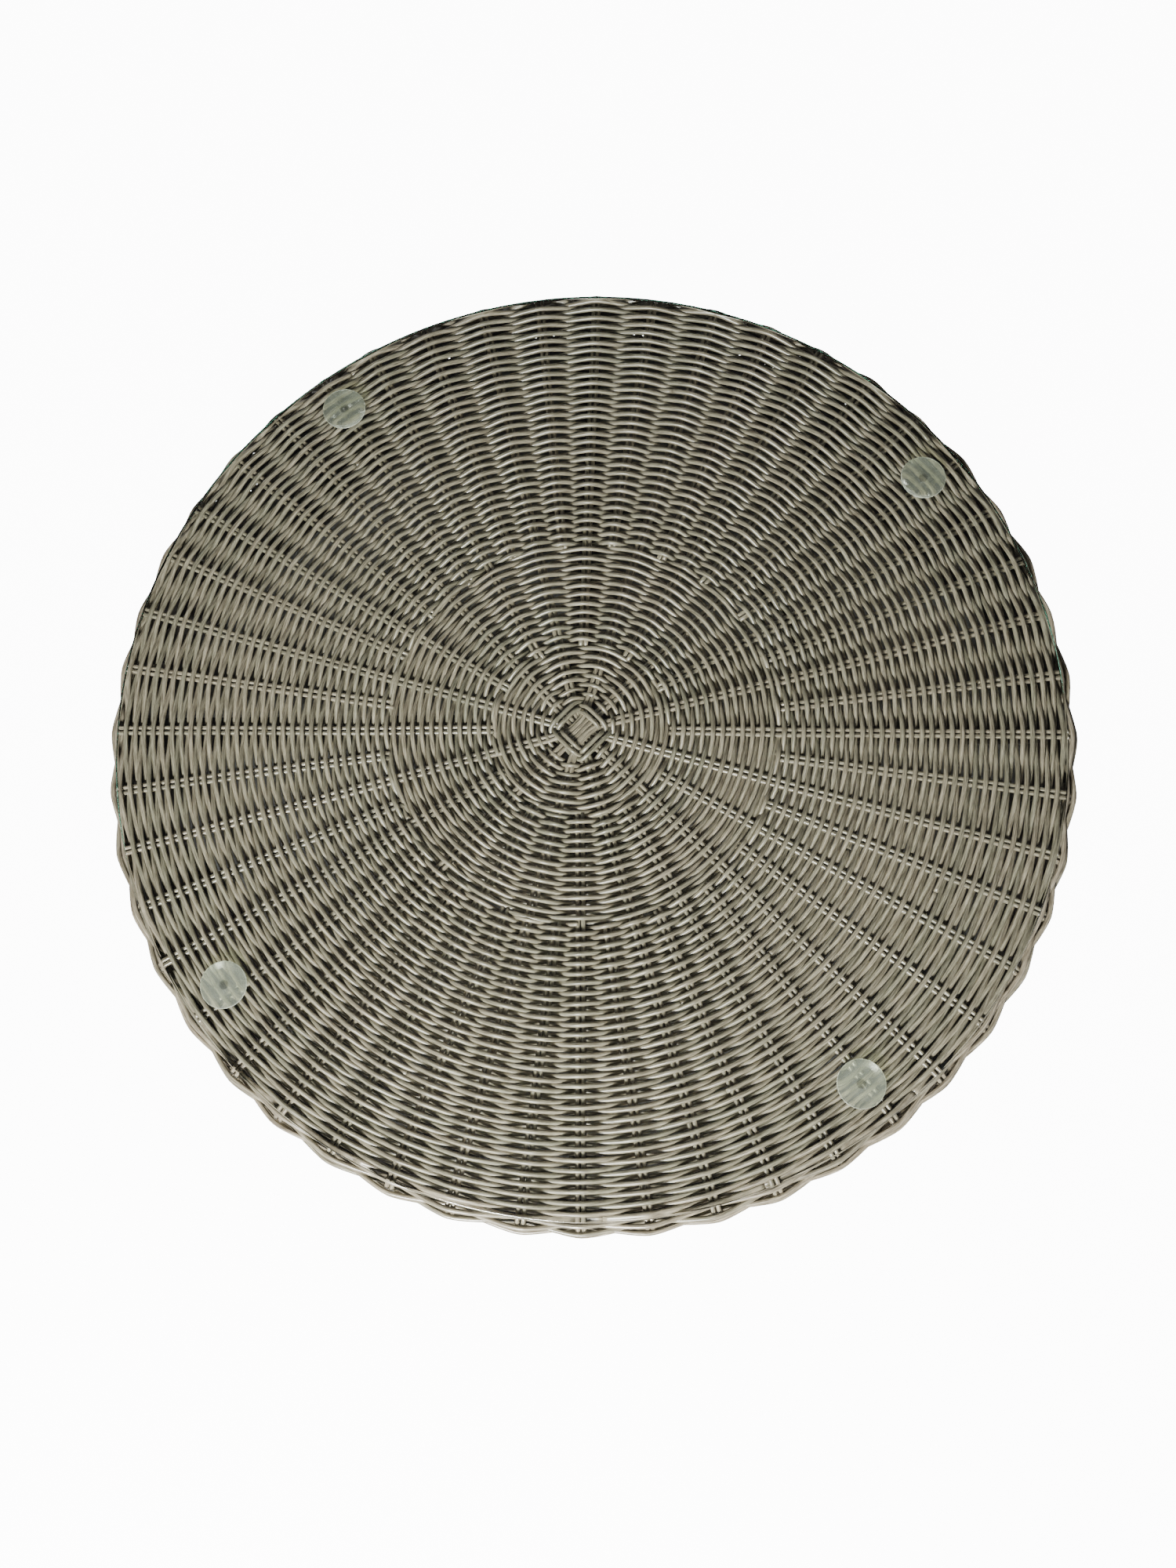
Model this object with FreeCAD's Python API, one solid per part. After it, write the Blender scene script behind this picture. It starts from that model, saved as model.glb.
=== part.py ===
import FreeCAD, Part
import math
import os

# Round woven table top with a lift-off glass plate.
# Millimetres, +Z up. The origin is the centre of the foot plane, on which the woven side stands.

V = FreeCAD.Vector
ORIGIN = V(0, 0, 0)
UP = V(0, 0, 1)

# Outer size
TOP_RADIUS = 312.5          # outer face of the woven side
WEAVE_TOP = 55.0            # crown of the woven top, above the foot plane

# Round plastic strand, and the three strand layers of a plain weave
STRAND_D = 3.3
STRAND_R = STRAND_D / 2
PAIR_OFFSET = 1.7           # each strand of a stake pair lies this far off the pair's centre line
WEAVE_T = 3 * STRAND_D
STAKE_Z = WEAVE_TOP - WEAVE_T / 2
STAKE_RADIUS = TOP_RADIUS - WEAVE_T / 2
BEND_R = 9.0                # a stake turns down over the rim on this radius
BEND_START = STAKE_RADIUS - BEND_R
SIDE_TOP = STAKE_Z - BEND_R
STAKE_FOOT = 6.0            # lower end of every stake, inside the border
CHANNEL_PLAY = 0.1          # room round a stake in the weave

# Woven zones, by radius. The number of stake pairs doubles at each boundary.
FAN_RADIUS = 24.0
INNER_EDGE = 56.0
MIDDLE_EDGE = 125.0
FIRST_PAIRS = 12
FIRST_ANGLE = 15.0
SECOND_START = INNER_EDGE + 0.5
THIRD_START = MIDDLE_EDGE + 0.5

# Centre cross: six strands lie over six others, bound by two square rounds
CROSS_ANGLE = 45.0
CROSS_STRANDS = 6
CROSS_HALF = 16.0
CROSS_PITCH = 3.4
WRAP_HALF_SIDES = (10.6, 14.5)
WRAP_CORNER_R = 2.5
WRAP_RISE = 5.1             # wrap centre line above and below the stake plane

# Border at the foot of the side, and the nails that hold it
BORDER_TOP = 12.0
BORDER_CORNER = 3.0
NAIL_COUNT = 24
NAIL_R = 0.7
NAIL_HEAD_R = 1.6
NAIL_HEAD_T = 0.8
NAIL_INNER = 299.6
NAIL_OUTER = 311.2
NAIL_PLAY = 0.05

# Painted steel frame
TUBE_R = 6.0
TUBE_WALL = 1.2
RING_RADIUS = TOP_RADIUS - WEAVE_T - 0.3 - TUBE_R
FRAME_Z = 37.2
FOOT_RING_Z = 8.0
POST_COUNT = 8
POST_R = 5.0
POST_WALL = 1.0
BAR_W = 20.0
BAR_H = 2 * TUBE_R
RAIL_W = 15.0
RAIL_DISTANCE = 240.0
HOOP_RADIUS = 150.0
HOOP_R = 4.0

# Leg plates, each with one welded nut
LEG_COUNT = 4
LEG_ANGLE = 45.0
LEG_BOLT_RADIUS = 268.0
PLATE_IN = 236.0
PLATE_OUT = 298.0
PLATE_W = 60.0
PLATE_T = 3.0
PLATE_HOLE_R = 4.5
NUT_FLATS = 13.0
NUT_H = 6.5
NUT_HOLE_R = 3.4

# Glass plate and its clear suction pads
GLASS_R = 300.0
GLASS_T = 5.0
GLASS_EDGE_R = 1.2
PAD_COUNT = 4
PAD_ANGLE = 36.4
PAD_CIRCLE = 275.0
PAD_R = 14.5
PAD_T = 2.9
PAD_GAP = 0.1
PAD_LIP = 0.8
PAD_SEAT_R = 10.5
PAD_CUP_R = 12.0
PAD_CUP_DEPTH = 0.7
PAD_NUB_R = 2.8
PAD_Z = WEAVE_TOP + PAD_GAP
GLASS_Z = PAD_Z + PAD_T


def polar(radius, degrees, z=0.0):
    """A point at a radius and an angle from +X."""
    angle = math.radians(degrees)
    return V(radius * math.cos(angle), radius * math.sin(angle), z)


def turned(shape, degrees):
    """A copy of a shape, turned about the vertical axis."""
    copy = shape.copy()
    copy.rotate(ORIGIN, UP, degrees)
    return copy


def outline(points):
    """A closed wire of straight edges."""
    return Part.makePolygon(list(points) + [points[0]])


def lathe(edges):
    """A solid of revolution about the vertical axis, from edges in the XZ plane."""
    return Part.Face(Part.Wire(edges)).revolve(ORIGIN, UP, 360)


def ring_rod(radius, rod_r, z, sweep=360.0):
    """A round rod bent into a ring, or into an arc that starts on +X."""
    section = Part.Wire(Part.makeCircle(rod_r, V(radius, 0, z), V(0, 1, 0)))
    return Part.Face(section).revolve(ORIGIN, UP, sweep)


def ring_tube(z):
    """One of the two bent frame tubes."""
    return ring_rod(RING_RADIUS, TUBE_R, z).cut(ring_rod(RING_RADIUS, TUBE_R - TUBE_WALL, z))


def coped(bar, space):
    """A bar with its ends cut to fit a ring, without the slivers beyond the ring."""
    return max(bar.cut(space).Solids, key=lambda solid: solid.Volume)


def box_tube(length, width, height, wall, corner):
    """A straight rectangular tube along +X from its corner."""
    outer = Part.makeBox(length, width, height, corner)
    bore = Part.makeBox(length, width - 2 * wall, height - 2 * wall, corner + V(0, wall, wall))
    return outer.cut(bore)


def flat_ring(inner, outer, bottom, top):
    """A plain annular slab."""
    height = top - bottom
    slab = Part.makeCylinder(outer, height, V(0, 0, bottom))
    return slab.cut(Part.makeCylinder(inner, height, V(0, 0, bottom)))


def stake_channel(start):
    """The room that one stake pair takes: along the top, round the bend and down the side."""
    half_t = STRAND_R + CHANNEL_PLAY
    half_w = PAIR_OFFSET + half_t
    centre = V(BEND_START, 0, SIDE_TOP)
    corner = math.sqrt(0.5)
    outer_r = BEND_R + half_t
    inner_r = BEND_R - half_t
    foot = STAKE_FOOT - CHANNEL_PLAY
    a = V(start, 0, STAKE_Z + half_t)
    b = centre + V(0, 0, outer_r)
    c = centre + V(outer_r, 0, 0)
    d = V(c.x, 0, foot)
    e = V(centre.x + inner_r, 0, foot)
    f = centre + V(inner_r, 0, 0)
    g = centre + V(0, 0, inner_r)
    h = V(start, 0, STAKE_Z - half_t)
    edges = [
        Part.makeLine(a, b),
        Part.Arc(b, centre + V(outer_r * corner, 0, outer_r * corner), c).toShape(),
        Part.makeLine(c, d),
        Part.makeLine(d, e),
        Part.makeLine(e, f),
        Part.Arc(f, centre + V(inner_r * corner, 0, inner_r * corner), g).toShape(),
        Part.makeLine(g, h),
        Part.makeLine(h, a),
    ]
    channel = Part.Face(Part.Wire(edges)).extrude(V(0, 2 * half_w, 0))
    channel.translate(V(0, -half_w, 0))
    return channel


def stake_end(degrees, offset):
    """Points of a stake's run from the top down the side: bend start, bend middle, bend end, foot."""
    corner = BEND_R * math.sqrt(0.5)
    flat = [
        V(BEND_START, offset, STAKE_Z),
        V(BEND_START + corner, offset, SIDE_TOP + corner),
        V(STAKE_RADIUS, offset, SIDE_TOP),
        V(STAKE_RADIUS, offset, STAKE_FOOT),
    ]
    spin = FreeCAD.Rotation(UP, degrees)
    return [spin.multVec(point) for point in flat]


def strand(edges, start, direction):
    """A round strand along a path."""
    section = Part.Wire(Part.makeCircle(STRAND_R, start, direction))
    return Part.Wire(edges).makePipeShell([section], True, False, 1)


def short_stake(degrees, offset, start_radius):
    """A stake inserted at a zone boundary, which runs out over the rim and down the side."""
    start = FreeCAD.Rotation(UP, degrees).multVec(V(start_radius, offset, STAKE_Z))
    top, middle, side, foot = stake_end(degrees, offset)
    edges = [Part.makeLine(start, top), Part.Arc(top, middle, side).toShape(), Part.makeLine(side, foot)]
    return strand(edges, start, top - start)


def cross_lane(index):
    """Fan angle, offset in its pair and place in the centre block of one through stake."""
    pair = index // 2
    fan = (pair - 1) * 360.0 / FIRST_PAIRS
    offset = PAIR_OFFSET if index % 2 else -PAIR_OFFSET
    lane = (index - (CROSS_STRANDS - 1) / 2) * CROSS_PITCH
    return fan, offset, lane


def through_stake(heading, index, level):
    """A stake that runs from the foot of one side, across the centre block, to the foot opposite."""
    fan, offset, lane = cross_lane(index)
    near = heading + fan
    far = heading + 180.0 - fan
    z = STAKE_Z + level * (CROSS_PITCH / 2)
    frame = FreeCAD.Rotation(UP, heading)
    block = [frame.multVec(V(CROSS_HALF, lane, z)), frame.multVec(V(-CROSS_HALF, lane, z))]
    fan_near = FreeCAD.Rotation(UP, near).multVec(V(FAN_RADIUS, offset, STAKE_Z))
    fan_far = FreeCAD.Rotation(UP, far).multVec(V(FAN_RADIUS, -offset, STAKE_Z))
    top_a, middle_a, side_a, foot_a = stake_end(near, offset)
    top_b, middle_b, side_b, foot_b = stake_end(far, -offset)
    edges = [
        Part.makeLine(foot_a, side_a),
        Part.Arc(side_a, middle_a, top_a).toShape(),
        Part.makeLine(top_a, fan_near),
        Part.makeLine(fan_near, block[0]),
        Part.makeLine(block[0], block[1]),
        Part.makeLine(block[1], fan_far),
        Part.makeLine(fan_far, top_b),
        Part.Arc(top_b, middle_b, side_b).toShape(),
        Part.makeLine(side_b, foot_b),
    ]
    return strand(edges, foot_a, UP)


def inserted_stakes(count, first_angle, start_radius):
    """Pairs of short stakes at even angles."""
    stakes = []
    for k in range(count):
        degrees = first_angle + k * 360.0 / count
        for offset in (-PAIR_OFFSET, PAIR_OFFSET):
            stakes.append(short_stake(degrees, offset, start_radius))
    return Part.makeCompound(stakes)


def centre_wraps():
    """Two square rounds of a strand above the centre cross, and two below it."""
    rounds = []
    for half in WRAP_HALF_SIDES:
        for level in (WRAP_RISE, -WRAP_RISE):
            z = STAKE_Z + level
            square = outline([V(half, -half, z), V(half, half, z), V(-half, half, z), V(-half, -half, z)])
            slab = Part.Face(square).extrude(UP)
            upright = [e for e in slab.Edges if abs(e.tangentAt(0).z) > 0.5]
            slab = slab.makeFillet(WRAP_CORNER_R, upright)
            low_edges = [e for e in slab.Edges if max(v.Z for v in e.Vertexes) < z + 0.5]
            path = Part.Wire(Part.__sortEdges__(low_edges))
            section = Part.Wire(Part.makeCircle(STRAND_R, V(half, 0, z), V(0, 1, 0)))
            rounds.append(turned(path.makePipeShell([section], True, False), CROSS_ANGLE))
    return Part.makeCompound(rounds)


def woven_side():
    """The vertical woven wall between the bend and the border."""
    return flat_ring(TOP_RADIUS - WEAVE_T, TOP_RADIUS, BORDER_TOP, SIDE_TOP)


def woven_shoulder():
    """The quarter-round stretch of weave that turns over the rim."""
    centre = V(BEND_START, 0, SIDE_TOP)
    inner_r = BEND_R - WEAVE_T / 2
    outer_r = BEND_R + WEAVE_T / 2
    corner = math.sqrt(0.5)
    inner_top = centre + V(0, 0, inner_r)
    outer_top = centre + V(0, 0, outer_r)
    inner_side = centre + V(inner_r, 0, 0)
    outer_side = centre + V(outer_r, 0, 0)
    return lathe([
        Part.makeLine(inner_top, outer_top),
        Part.Arc(outer_top, centre + V(outer_r * corner, 0, outer_r * corner), outer_side).toShape(),
        Part.makeLine(outer_side, inner_side),
        Part.Arc(inner_side, centre + V(inner_r * corner, 0, inner_r * corner), inner_top).toShape(),
    ])


def foot_border():
    """The rolled border that closes the side and stands on the foot plane."""
    ring = flat_ring(TOP_RADIUS - WEAVE_T, TOP_RADIUS, 0.0, BORDER_TOP)
    low_edges = [e for e in ring.Edges if e.Curve.TypeId == "Part::GeomCircle" and e.Vertexes[0].Z < 0.1]
    return ring.makeFillet(BORDER_CORNER, low_edges)


def nail(play=0.0):
    """A headed nail, driven inwards through the border into the foot ring on +X."""
    outward = V(1, 0, 0)
    tip = V(NAIL_INNER, 0, FOOT_RING_Z)
    under_head = V(NAIL_OUTER - NAIL_HEAD_T - play, 0, FOOT_RING_Z)
    shank = Part.makeCylinder(NAIL_R + play, NAIL_OUTER - NAIL_INNER, tip, outward)
    head = Part.makeCylinder(NAIL_HEAD_R + play, NAIL_HEAD_T + play, under_head, outward)
    return shank.fuse(head).removeSplitter()


def nail_group(play=0.0):
    """All the nails, each midway between two stake pairs."""
    step = 360.0 / NAIL_COUNT
    first = FIRST_ANGLE / 4
    return [turned(nail(play), first + k * step) for k in range(NAIL_COUNT)]


def leg_plate():
    """A flat plate under the rim ring and a corner rail, with one clearance hole."""
    corner = V(PLATE_IN, -PLATE_W / 2, FRAME_Z - TUBE_R - PLATE_T)
    plate = Part.makeBox(PLATE_OUT - PLATE_IN, PLATE_W, PLATE_T, corner)
    upright = [e for e in plate.Edges if abs(e.tangentAt(0).z) > 0.5]
    plate = plate.makeFillet(6.0, upright)
    return plate.cut(Part.makeCylinder(PLATE_HOLE_R, PLATE_T, V(LEG_BOLT_RADIUS, 0, corner.z)))


def leg_nut():
    """A hexagonal weld nut on top of a leg plate."""
    z = FRAME_Z - TUBE_R
    corner_r = NUT_FLATS / math.sqrt(3)
    points = [V(LEG_BOLT_RADIUS, 0, z) + polar(corner_r, 60 * k) for k in range(6)]
    body = Part.Face(outline(points)).extrude(V(0, 0, NUT_H))
    return body.cut(Part.makeCylinder(NUT_HOLE_R, NUT_H, V(LEG_BOLT_RADIUS, 0, z)))


def suction_pad():
    """A clear soft disc: a seat below, a thin lip and a shallow cup against the glass, a nub in the cup."""
    top = PAD_Z + PAD_T
    cup = top - PAD_CUP_DEPTH
    pad = lathe([
        Part.makeLine(V(0, 0, PAD_Z), V(PAD_SEAT_R, 0, PAD_Z)),
        Part.makeLine(V(PAD_SEAT_R, 0, PAD_Z), V(PAD_R, 0, top - PAD_LIP)),
        Part.makeLine(V(PAD_R, 0, top - PAD_LIP), V(PAD_R, 0, top)),
        Part.makeLine(V(PAD_R, 0, top), V(PAD_CUP_R, 0, top)),
        Part.makeLine(V(PAD_CUP_R, 0, top), V(PAD_NUB_R + 1.0, 0, cup)),
        Part.makeLine(V(PAD_NUB_R + 1.0, 0, cup), V(PAD_NUB_R, 0, top)),
        Part.makeLine(V(PAD_NUB_R, 0, top), V(0, 0, top)),
        Part.makeLine(V(0, 0, top), V(0, 0, PAD_Z)),
    ])
    pad.translate(V(PAD_CIRCLE, 0, 0))
    return pad


def glass_plate():
    """A toughened glass disc with eased edges."""
    disc = Part.makeCylinder(GLASS_R, GLASS_T, V(0, 0, GLASS_Z))
    rims = [e for e in disc.Edges if e.Curve.TypeId == "Part::GeomCircle"]
    return disc.makeFillet(GLASS_EDGE_R, rims)


def frame_nodes():
    """The steel frame: two rings, posts, crossed bars, corner rails, hoop arcs, leg plates and nuts."""
    nodes = {}
    rim_space = ring_rod(RING_RADIUS, TUBE_R, FRAME_Z)
    foot_space = ring_rod(RING_RADIUS, TUBE_R, FOOT_RING_Z)
    nodes["rim_ring"] = ring_tube(FRAME_Z)
    nodes["foot_ring"] = ring_tube(FOOT_RING_Z).cut(Part.makeCompound(nail_group(NAIL_PLAY)))
    bore = Part.makeCylinder(POST_R - POST_WALL, FRAME_Z - FOOT_RING_Z, V(RING_RADIUS, 0, FOOT_RING_Z))
    post = Part.makeCylinder(POST_R, FRAME_Z - FOOT_RING_Z, V(RING_RADIUS, 0, FOOT_RING_Z)).cut(bore)
    post = coped(coped(post, rim_space), foot_space)
    for k in range(POST_COUNT):
        nodes[f"post_{k + 1}"] = turned(post, (k + 0.5) * 360.0 / POST_COUNT)
    low = FRAME_Z - TUBE_R
    long_bar = box_tube(2 * RING_RADIUS, BAR_W, BAR_H, TUBE_WALL, V(-RING_RADIUS, -BAR_W / 2, low))
    half_bar = box_tube(RING_RADIUS - BAR_W / 2, BAR_W, BAR_H, TUBE_WALL, V(BAR_W / 2, -BAR_W / 2, low))
    nodes["cross_bar_long"] = coped(long_bar, rim_space)
    nodes["cross_bar_back"] = turned(coped(half_bar, rim_space), 90)
    nodes["cross_bar_front"] = turned(coped(half_bar, rim_space), 270)
    reach = math.sqrt(RING_RADIUS ** 2 - RAIL_DISTANCE ** 2)
    rail = box_tube(2 * reach, RAIL_W, BAR_H, TUBE_WALL, V(-reach, RAIL_DISTANCE - RAIL_W / 2, low))
    rail = coped(rail, rim_space)
    bar_space = Part.makeBox(2 * RING_RADIUS, BAR_W, BAR_H, V(-RING_RADIUS, -BAR_W / 2, low))
    arc = ring_rod(HOOP_RADIUS, HOOP_R, FRAME_Z + TUBE_R - HOOP_R, 90.0)
    arc = arc.cut(bar_space).cut(turned(bar_space, 90))
    for k in range(LEG_COUNT):
        degrees = LEG_ANGLE + k * 360.0 / LEG_COUNT
        nodes[f"corner_rail_{k + 1}"] = turned(rail, degrees - 90)
        nodes[f"hoop_arc_{k + 1}"] = turned(arc, degrees - LEG_ANGLE)
        nodes[f"leg_plate_{k + 1}"] = turned(leg_plate(), degrees)
        nodes[f"leg_nut_{k + 1}"] = turned(leg_nut(), degrees)
    return nodes


def woven_nodes():
    """The stakes, the centre cross and the woven zones that they run through."""
    nodes = {}
    over = [through_stake(CROSS_ANGLE, index, 1) for index in range(CROSS_STRANDS)]
    under = [through_stake(CROSS_ANGLE + 90, index, -1) for index in range(CROSS_STRANDS)]
    nodes["cross_stakes_over"] = Part.makeCompound(over)
    nodes["cross_stakes_under"] = Part.makeCompound(under)
    nodes["second_stakes"] = inserted_stakes(FIRST_PAIRS, 0.0, SECOND_START)
    nodes["third_stakes"] = inserted_stakes(2 * FIRST_PAIRS, FIRST_ANGLE / 2, THIRD_START)
    nodes["centre_wraps"] = centre_wraps()
    channel_step = FIRST_ANGLE / 2
    channel = stake_channel(FAN_RADIUS - STRAND_D)
    all_channels = [turned(channel, k * channel_step) for k in range(4 * FIRST_PAIRS)]
    low = WEAVE_TOP - WEAVE_T
    first = Part.makeCompound(all_channels[2::4])
    second = Part.makeCompound(all_channels[0::2])
    every = Part.makeCompound(all_channels)
    nodes["weave_inner"] = flat_ring(FAN_RADIUS, INNER_EDGE, low, WEAVE_TOP).cut(first)
    nodes["weave_middle"] = flat_ring(INNER_EDGE, MIDDLE_EDGE, low, WEAVE_TOP).cut(second)
    nodes["weave_outer"] = flat_ring(MIDDLE_EDGE, BEND_START, low, WEAVE_TOP).cut(every)
    nodes["weave_shoulder"] = woven_shoulder().cut(every)
    nodes["weave_side"] = woven_side().cut(every)
    nodes["foot_border"] = foot_border().cut(every).cut(Part.makeCompound(nail_group(NAIL_PLAY)))
    nodes["border_nails"] = Part.makeCompound(nail_group())
    return nodes


def glass_nodes():
    """The glass plate and the suction pads that lift off with it."""
    nodes = {"glass_plate": glass_plate()}
    for k in range(PAD_COUNT):
        nodes[f"suction_pad_{k + 1}"] = turned(suction_pad(), PAD_ANGLE + k * 360.0 / PAD_COUNT)
    return nodes


def main():
    os.makedirs("parts", exist_ok=True)
    nodes = {**frame_nodes(), **woven_nodes(), **glass_nodes()}
    for name, shape in nodes.items():
        if not shape.isValid():
            print("not valid:", name)
        shape.exportStep(f"parts/{name}.step")
        print(f"{name:20s} {len(shape.Solids):3d} solids {shape.Volume / 1000:9.2f} cm3")


main()
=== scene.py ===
import math

import bpy
import numpy as np
from mathutils import Matrix, Vector


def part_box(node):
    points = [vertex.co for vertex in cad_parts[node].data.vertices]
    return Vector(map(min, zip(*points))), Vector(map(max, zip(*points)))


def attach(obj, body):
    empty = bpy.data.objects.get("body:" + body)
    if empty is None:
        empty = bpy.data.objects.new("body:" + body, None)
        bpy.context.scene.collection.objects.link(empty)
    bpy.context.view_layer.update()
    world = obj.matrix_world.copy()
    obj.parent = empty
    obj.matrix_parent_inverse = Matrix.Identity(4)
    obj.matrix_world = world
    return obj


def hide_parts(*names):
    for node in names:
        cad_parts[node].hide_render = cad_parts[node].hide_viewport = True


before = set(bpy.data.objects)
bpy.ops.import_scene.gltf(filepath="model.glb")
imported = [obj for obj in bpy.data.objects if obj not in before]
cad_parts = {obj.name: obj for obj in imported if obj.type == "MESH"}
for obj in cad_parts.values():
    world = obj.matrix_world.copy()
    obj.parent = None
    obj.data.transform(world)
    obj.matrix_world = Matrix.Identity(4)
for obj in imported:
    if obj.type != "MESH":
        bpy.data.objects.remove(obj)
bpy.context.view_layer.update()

# ---------------------------------------------------------------------------------------------
# Sizes, in metres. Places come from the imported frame.
# ---------------------------------------------------------------------------------------------
MM = 0.001

side_low, side_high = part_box("weave_side")
flat_low, flat_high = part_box("weave_outer")
border_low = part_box("foot_border")[0]

RIM = side_high.x                                  # outer face of the woven side
LAYER = (flat_high.z - flat_low.z) / 3             # one strand thick
MID_Z = (flat_high.z + flat_low.z) / 2             # height of the stakes
MID_RADIUS = RIM - 1.5 * LAYER                     # the stakes' place in the side
BEND_START = flat_high.x                           # where the stakes start to turn down
BEND_R = MID_RADIUS - BEND_START
SIDE_TOP = side_high.z
SIDE_FOOT = side_low.z
BEND_END = BEND_START + BEND_R * math.pi / 2       # runs are measured along the stakes, from the centre
FOOT_RUN = BEND_END + SIDE_TOP - SIDE_FOOT
INNER_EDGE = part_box("weave_inner")[1].x
MIDDLE_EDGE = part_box("weave_middle")[1].x

ROW_R = 1.56 * MM
STAKE_R = 1.50 * MM
PAIR_OFFSET = 1.68 * MM                            # half the spacing of the two strands in a stake pair
LIFT = 3.0 * MM                                    # a row passes this far above or below the stakes
ROW_PITCH = 3.06 * MM
FIRST_ROW = 19.6 * MM
FAN_RADIUS = 22.0 * MM

FIRST_PAIRS = 12                                   # stake pairs at the cross, and at the rim
PAIRS = 48
LEAN = math.radians(-0.85)                         # the stakes lean round by this, and by twice this at most
LEAN_MOST = math.radians(50)                       # where round the rim they lean the most
CENTRE_SHIFT = (-3.2 * MM, -3.0 * MM)              # the weave's middle is a little off the disc's
DIVE = 2.2 * MM                                    # how deep an end is tucked, and over what length
DIVE_LENGTH = 9 * MM
STRAY_UP = 0.16 * MM                               # how far a row strays up or down, and in or out
STRAY_OUT = 0.24 * MM
ROW_SIDES = 8                                      # faces round a strand
GRAIN_LENGTH = 9 * MM                              # length of a streak
GRAIN_ROUND = 2.4                                  # a strand's radius in widths of a streak
STAKE_END = FOOT_RUN + 5 * MM                      # the stakes end inside the border
rng = np.random.default_rng(48)


# ---------------------------------------------------------------------------------------------
# Node materials
# ---------------------------------------------------------------------------------------------
class Shader:
    """A new material with short calls for its nodes."""

    def __init__(self, name):
        self.material = bpy.data.materials.new(name)
        self.material.use_nodes = True
        self.tree = self.material.node_tree
        self.tree.nodes.clear()
        self.output = self.tree.nodes.new("ShaderNodeOutputMaterial")

    def node(self, kind, **settings):
        made = self.tree.nodes.new("ShaderNode" + kind)
        for key, value in settings.items():
            setattr(made, key, value)
        return made

    def link(self, source, target):
        self.tree.links.new(source, target)
        return target

    def attribute(self, name, output="Vector"):
        """What the strands' meshes carry."""
        return self.node("Attribute", attribute_name=name).outputs[output]

    def noise(self, vector, scale, detail=3.0, roughness=0.55):
        made = self.node("TexNoise")
        made.inputs["Scale"].default_value = scale
        made.inputs["Detail"].default_value = detail
        made.inputs["Roughness"].default_value = roughness
        self.link(vector, made.inputs["Vector"])
        return made.outputs["Fac"]

    def ramp(self, value, stops):
        """Colour by value; stops are (value, colour)."""
        made = self.node("ValToRGB")
        elements = made.color_ramp.elements
        while len(elements) < len(stops):
            elements.new(0.5)
        for element, (place, colour) in zip(elements, stops):
            element.position = place
            element.color = (*colour, 1.0)
        self.link(value, made.inputs["Fac"])
        return made.outputs["Color"]

    def mix(self, factor, first, second, blend="MIX"):
        made = self.node("Mix", data_type="RGBA", blend_type=blend)
        self.plug(factor, made.inputs["Factor"])
        self.plug(first, made.inputs["A"])
        self.plug(second, made.inputs["B"])
        return made.outputs["Result"]

    def maths(self, operation, first, second):
        made = self.node("Math", operation=operation, use_clamp=True)
        self.plug(first, made.inputs[0])
        self.plug(second, made.inputs[1])
        return made.outputs[0]

    def distance(self, place, centre):
        made = self.node("VectorMath", operation="DISTANCE")
        made.inputs[1].default_value = centre
        self.link(place, made.inputs[0])
        return made.outputs["Value"]

    def level(self, value, low, high, start=0.0, end=1.0):
        """Brings a value from start..end to low..high."""
        made = self.node("MapRange")
        made.inputs["From Min"].default_value = start
        made.inputs["From Max"].default_value = end
        made.inputs["To Min"].default_value = low
        made.inputs["To Max"].default_value = high
        self.link(value, made.inputs["Value"])
        return made.outputs["Result"]

    def plug(self, value, socket):
        """Links a socket to another node, or sets it to a colour or a number."""
        if isinstance(value, bpy.types.NodeSocket):
            self.link(value, socket)
        elif isinstance(value, tuple):
            socket.default_value = (*value, 1.0)
        else:
            socket.default_value = value

    def bump(self, height, strength, distance):
        made = self.node("Bump")
        made.inputs["Strength"].default_value = strength
        made.inputs["Distance"].default_value = distance
        self.link(height, made.inputs["Height"])
        return made.outputs["Normal"]

    def principled(self, **inputs):
        made = self.node("BsdfPrincipled")
        for key, value in inputs.items():
            self.plug(value, made.inputs[key.replace("_", " ")])
        return made

    def lit_through(self, surface, colour):
        """Lets light pass straight through the surface to what is behind it."""
        clear = self.node("BsdfTransparent")
        self.plug(colour, clear.inputs["Color"])
        path = self.node("LightPath")
        return self.either(self.maths("ADD", path.outputs["Is Shadow Ray"], path.outputs["Is Diffuse Ray"]),
                           surface, clear)

    def either(self, factor, first, second):
        """The first surface where the factor is 0, the second where it is 1."""
        made = self.node("MixShader")
        self.link(factor, made.inputs["Fac"])
        self.link(first.outputs[0], made.inputs[1])
        self.link(second.outputs[0], made.inputs[2])
        return made

    def finish(self, surface):
        self.link(surface.outputs[0], self.output.inputs["Surface"])
        return self.material


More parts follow.
